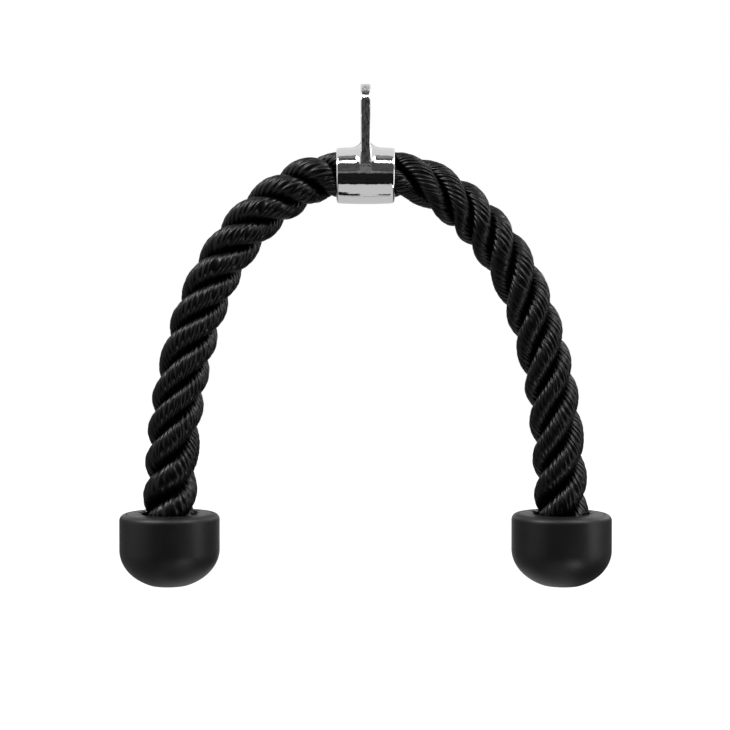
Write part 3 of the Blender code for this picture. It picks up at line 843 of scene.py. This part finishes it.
def lay_strands(name, leg, lay, start, end, settings, finish, tufts=False):
    """Three strands laid round the leg's route, each with the ridges of its yarns."""
    places = ring_places(start, end)
    rings = len(places) - 1
    parts = len(YARN_SHARES)
    columns = settings.yarns * parts
    yarn_turn = -2 * math.pi / settings.lay_length * YARN_SLANT_SHARE / STRAND_WIDTH_SHARE
    stations = []
    for place in places:
        centre, along = leg.at(place)
        back = Vector((0, -leg.side, 0))
        radius = settings.radius * leg.thickness(place) - settings.yarn_depth - settings.yarn_stray / 2
        stations.append((place, centre, back.cross(along), back, radius, *lay.turns(place)))

    made = bmesh.new()
    uv_layer = made.loops.layers.uv.new(UV_MAP)
    for strand in range(STRANDS):
        grid = bmesh.ops.create_grid(
            made, x_segments=columns, y_segments=rings, size=HALF_UNIT, calc_uvs=True
        )
        for vert in grid["verts"]:
            column = round((vert.co.x + HALF_UNIT) * columns)
            ring = round((vert.co.y + HALF_UNIT) * rings)
            place, centre, outward, back, radius, outer, inner = stations[ring]
            yarn = column % columns // parts
            strand_seed = strand * STRAND_SEED + leg.side * LEG_SEED
            seed = Vector((yarn * YARN_SEED, strand_seed, place / STRAY_REACH))
            stray = noise.noise(seed)
            sway = noise.noise(seed * SWAY_SPAN_SHARE + Vector(SWAY_SEED)) * parts * YARN_SWAY_SHARE
            angle = 2 * math.pi * (column + sway) / columns + yarn_turn * place
            flat, normal = strand_outline(angle, radius, STRAND_PARTING)
            ridge = settings.yarn_depth * YARN_SHARES[column % parts]
            lift = ridge + settings.yarn_stray * (1 + stray) / 2
            flat += normal * lift
            own = math.atan2(flat.y, flat.x) + 2 * math.pi * strand / STRANDS
            direction = lay.direction(own, outer, inner)
            across = outward * math.cos(direction) + back * math.sin(direction)
            vert.co = centre + across * flat.length
    for face in made.faces:
        for loop in face.loops:
            spot = loop[uv_layer].uv
            spot.x *= settings.yarns
            spot.y = places[round(spot.y * rings)] / UV_STEP
    bmesh.ops.remove_doubles(made, verts=made.verts, dist=WELD)
    bmesh.ops.holes_fill(made, edges=[e for e in made.edges if e.is_boundary], sides=0)
    bmesh.ops.recalc_face_normals(made, faces=made.faces)
    if tufts:
        add_tufts(made, leg, settings)
    return piece_from(name, made, finish)


def add_tufts(made, leg, settings):
    """Frayed yarn ends that stand out over the stopper's lid, round the hole."""
    centre = leg.at(leg.lid)[0]
    for i in range(TUFTS):
        drift = noise.noise(Vector((i * TUFT_SEED[0], leg.side * TUFT_SEED[1], TUFT_SEED[2])))
        angle = 2 * math.pi * (i + drift) / TUFTS
        length = settings.tuft * (1 + drift)
        lean = Matrix.Rotation(math.radians(TUFT_LEAN + TUFT_LEAN_SPREAD * drift), 4, "Y")
        place = Matrix.Translation(centre) @ Matrix.Rotation(angle, 4, "Z")
        place = place @ Matrix.Translation((settings.radius - TUFT_SINK, 0, TUFT_RADIUS))
        bmesh.ops.create_cone(
            made,
            cap_ends=True,
            segments=TUFT_SIDES,
            radius1=TUFT_RADIUS,
            radius2=TUFT_RADIUS / TUFT_TAPER,
            depth=length,
            matrix=place @ lean @ Matrix.Translation((0, 0, length / 2)),
        )


def wind_twine(name, leg, finish):
    """Laid twine wound in touching turns round the rope's crimped end, below the lid."""
    top = leg.at(leg.lid)[0] - Vector((0, 0, TWINE_DROP + TWINE_RADIUS))
    fall = 2 * TWINE_RADIUS * (TWINE_TURNS - 1)
    steps = TWINE_STEPS * TWINE_TURNS
    made = bmesh.new()
    start = top + Vector((TWINE_SEAT + TWINE_RADIUS, 0, 0))
    upright = Matrix.Translation(start) @ Matrix.Rotation(math.pi / 2, 4, "X")
    ring = bmesh.ops.create_circle(made, segments=TWINE_SECTION, radius=TWINE_RADIUS, matrix=upright)
    bmesh.ops.spin(
        made,
        geom=[*ring["verts"], *made.edges],
        cent=top,
        axis=UP,
        dvec=-UP * fall / steps,
        angle=2 * math.pi * TWINE_TURNS,
        steps=steps,
    )
    bmesh.ops.holes_fill(made, edges=[e for e in made.edges if e.is_boundary], sides=0)
    for vert in made.verts:
        spot = vert.co - top
        turn = math.atan2(spot.y, spot.x) % (2 * math.pi)
        wound = round((-spot.z / fall) * TWINE_TURNS - turn / 2 / math.pi) + turn / 2 / math.pi
        middle = Vector((TWINE_SEAT + TWINE_RADIUS, -fall * wound / TWINE_TURNS))
        across = Vector((Vector((spot.x, spot.y)).length, spot.z)) - middle
        own = math.atan2(across.y, across.x) + 2 * math.pi * TWINE_PLY_TWISTS * wound
        across *= 1 - TWINE_PLY_DEPTH / TWINE_RADIUS * (1 - math.cos(TWINE_PLIES * own)) / 2
        radius = middle.x + across.x
        vert.co = top + Vector((radius * math.cos(turn), radius * math.sin(turn), middle.y + across.y))
    close_up(made)
    return piece_from(name, made, finish)


class ROPE_OT_stage(bpy.types.Operator):
    """Makes the camera, the floor, the light and the cards that the chrome reflects"""

    bl_idname = "rope_handle.stage"
    bl_label = "Make the stage"

    def execute(self, context):
        settings = context.scene.rope_stage
        self.make_camera(context, settings)
        self.make_floor(settings)
        self.make_world(context)
        self.make_lamps()
        self.make_cards()
        context.scene.view_settings.view_transform = "Standard"
        return {"FINISHED"}

    def make_camera(self, context, settings):
        """The camera, looking at the rope from the front."""
        camera = bpy.data.cameras.new("camera")
        camera.angle = settings.view_angle
        holder = placed("camera", camera)
        holder.location = (settings.camera_side, -settings.distance, settings.camera_height)
        turn_to(holder, (settings.camera_side, 0, settings.aim_height))
        context.scene.camera = holder

    def make_floor(self, settings):
        """The pale floor, white where the camera sees it."""
        made = bmesh.new()
        place = Matrix.Translation((0, 0, settings.floor_height))
        bmesh.ops.create_grid(made, x_segments=1, y_segments=1, size=FLOOR_REACH, matrix=place)
        finish, tree, shader = new_material("pale_floor", settings.floor_colour, FLOOR_ROUGHNESS)
        ray = tree.nodes.new("ShaderNodeLightPath").outputs
        mirrored = math_node(tree, "ADD", ray["Is Glossy Ray"], ray["Is Transmission Ray"])
        mirrored = math_node(tree, "MULTIPLY", mirrored, FLOOR_MIRRORED_SHARE)
        seen = math_node(tree, "ADD", ray["Is Camera Ray"], mirrored)
        fill_in(shader, Emission_Color=WHITE, Emission_Strength=seen)
        floor = object_from("floor", made, finish)

    def make_world(self, context):
        """Light for the object, and a white background for the camera and for what shines."""
        world = bpy.data.worlds.new("studio")
        world.use_nodes = True
        tree = world.node_tree
        ray = tree.nodes.new("ShaderNodeLightPath").outputs
        seen = math_node(tree, "ADD", ray["Is Camera Ray"], ray["Is Glossy Ray"])
        seen = math_node(tree, "ADD", seen, ray["Is Transmission Ray"], clamp=True)
        fill_in(tree.nodes["Background"], Color=WHITE, Strength=remap(tree, seen, *SKY_STRENGTHS))
        context.scene.world = world

    def make_lamps(self):
        """Square lamps turned to the middle of the rope."""
        for name, place, size, power in LAMPS:
            lamp = bpy.data.lights.new(name, "AREA")
            lamp.shape = "SQUARE"
            lamp.size = size
            lamp.energy = power
            holder = placed(name, lamp)
            holder.location = place
            turn_to(holder, LAMP_AIM)

    def make_cards(self):
        """Strips round the collar's axis, and flat cards beside and below, that only reflections show."""
        centre = Vector((0, 0, AXIS_HEIGHT))
        for name, distance, low, high, first_end, last_end, level in CARDS:
            made = bmesh.new()
            start = Matrix.Rotation(math.radians(-low), 3, "X") @ Vector((0, -distance, 0))
            ends = []
            for side in (first_end, last_end):
                ends.append(made.verts.new(centre + start + Vector((side, 0, 0))))
            edge = made.edges.new(ends)
            bmesh.ops.spin(
                made,
                geom=[*ends, edge],
                cent=centre,
                axis=(-1, 0, 0),
                angle=math.radians(high - low),
                steps=CARD_STEPS,
            )
            self.add_card(name, made, level)
        for name, middle, size, level, upright in FLAT_CARDS:
            made = bmesh.new()
            place = Matrix.Translation(middle)
            if upright:
                place = place @ Matrix.Rotation(math.pi / 2, 4, "Y")
            place = place @ Matrix.Diagonal((*size, 1, 1))
            bmesh.ops.create_grid(made, x_segments=1, y_segments=1, size=HALF_UNIT, matrix=place)
            self.add_card(name, made, level)

    def add_card(self, name, made, level):
        """A card that glows at a level, mottled where it is dull, and that only reflections show."""
        finish, tree, shader = new_material(name.replace(" ", "_"), (0, 0, 0), 1.0)
        fill_in(shader, Specular_IOR_Level=0.0, Emission_Color=WHITE, Emission_Strength=level)
        if level < BRIGHT_LEVEL:
            _, mottle = add_grain(tree, object_place(tree), *CARD_GRAIN)
            glow = math_node(tree, "MULTIPLY", remap(tree, mottle, *DULL_SHARES), level)
            fill_in(shader, Emission_Strength=glow)
        card = object_from(name, made, finish)
        card.visible_camera = False
        card.visible_diffuse = False
        card.visible_shadow = False
        card.visible_transmission = False


class ROPE_OT_rope(bpy.types.Operator):
    """Lays the rope's two legs, each parted where its bends need it"""

    bl_idname = "rope_handle.rope"
    bl_label = "Lay the rope"

    def execute(self, context):
        settings = context.scene.rope_rope
        finish = yarn_material(settings)
        for name, side in SIDES:
            leg = Leg(side, context.scene.rope_collar.length)
            lay = Lay(GROOVES[name], settings.lay_length)
            middle = -context.scene.rope_collar.length / 2
            tail_end = leg.lid + TAIL_REACH
            cuts = (
                (f"rope_{name}_mouth", middle, NECK_END, "collar", f"{name}_neck", SPREAD_BEND),
                (f"rope_{name}_shoulder", NECK_END, UPPER_END, f"{name}_neck", f"{name}_upper", SWAY_BEND),
                (f"rope_{name}_leg", UPPER_END, tail_end, f"{name}_upper", f"{name}_lower", FLEX_BEND),
            )
            for piece_name, start, end, inner, outer, bend in cuts:
                tufts = end == tail_end
                piece = lay_strands(piece_name, leg, lay, start, end, settings, finish, tufts)
                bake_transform(piece)
            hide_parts("rope_centre", f"rope_{name}_neck")
            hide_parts(f"rope_{name}_upper")
            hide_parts(f"rope_{name}_lower")
        return {"FINISHED"}


class ROPE_OT_collar(bpy.types.Operator):
    """Casts the collar with its eye plate"""

    bl_idname = "rope_handle.collar"
    bl_label = "Cast the collar"

    def execute(self, context):
        settings = context.scene.rope_collar
        collar = cast_collar(settings, chrome_material(settings))
        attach(collar, "collar")
        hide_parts("collar_eye")
        return {"FINISHED"}


class ROPE_OT_stoppers(bpy.types.Operator):
    """Turns the lid and the shell of each stopper"""

    bl_idname = "rope_handle.stoppers"
    bl_label = "Turn the stoppers"

    def execute(self, context):
        settings = context.scene.rope_stopper
        finish = mottled_material("moulded_rubber", settings.colour, RUBBER_LOOK)
        for name, side in SIDES:
            leg = Leg(side, context.scene.rope_collar.length)
            centre = leg.at(leg.lid)[0]
            for part, profile in (("lid", lid_profile(settings)), ("shell", shell_profile(settings))):
                made = spun(profile, UP, centre, STOPPER_STEPS)
                piece = piece_from(f"{name}_stopper_{part}", made, finish)
                piece.data.set_sharp_from_angle(angle=math.radians(SHARP_DEGREES))
                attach(piece, f"{name}_lower")
                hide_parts(f"{name}_cap_{part}")
        return {"FINISHED"}


class ROPE_OT_fastenings(bpy.types.Operator):
    """Finishes the washers, ferrules and pins inside the stoppers, and winds the whippings"""

    bl_idname = "rope_handle.fastenings"
    bl_label = "Finish the fastenings"

    def execute(self, context):
        settings = context.scene.rope_metal
        zinc = mottled_material("zinc_plate", settings.zinc, ZINC_LOOK, METAL)
        twine = mottled_material("waxed_twine", settings.twine, TWINE_LOOK)
        for name, side in SIDES:
            for part in ("washer", "ferrule", "end_pin"):
                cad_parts[f"{name}_{part}"].material_slots[0].material = zinc
            leg = Leg(side, context.scene.rope_collar.length)
            wound = wind_twine(f"{name}_wound_twine", leg, twine)
            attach(wound, f"{name}_lower")
            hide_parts(f"{name}_whipping")
        return {"FINISHED"}


class ROPE_PT_panel(bpy.types.Panel):
    """The steps that build the rope handle."""

    bl_idname = "ROPE_PT_panel"
    bl_label = "Rope handle"
    bl_space_type = "VIEW_3D"
    bl_region_type = "UI"
    bl_category = "Rope"

    def draw(self, context):
        for step in STEPS:
            self.layout.operator(step.bl_idname)


SETTINGS = {
    "rope_rope": RopeSettings,
    "rope_collar": CollarSettings,
    "rope_stopper": StopperSettings,
    "rope_metal": MetalSettings,
    "rope_stage": StageSettings,
}
STEPS = (ROPE_OT_stage, ROPE_OT_collar, ROPE_OT_stoppers, ROPE_OT_fastenings, ROPE_OT_rope)
CLASSES = (*SETTINGS.values(), *STEPS, ROPE_PT_panel)


def register():
    """Adds the settings, the steps and the panel."""
    for item in CLASSES:
        bpy.utils.register_class(item)
    for name, group in SETTINGS.items():
        setattr(bpy.types.Scene, name, PointerProperty(type=group))


def unregister():
    """Takes the settings, the steps and the panel away."""
    for name in SETTINGS:
        delattr(bpy.types.Scene, name)
    for item in reversed(CLASSES):
        bpy.utils.unregister_class(item)


def main():
    """Builds the rope handle step by step."""
    register()
    bpy.ops.rope_handle.stage()
    bpy.ops.rope_handle.collar()
    bpy.ops.rope_handle.stoppers()
    bpy.ops.rope_handle.fastenings()
    bpy.ops.rope_handle.rope()


if __name__ == "__main__":
    main()
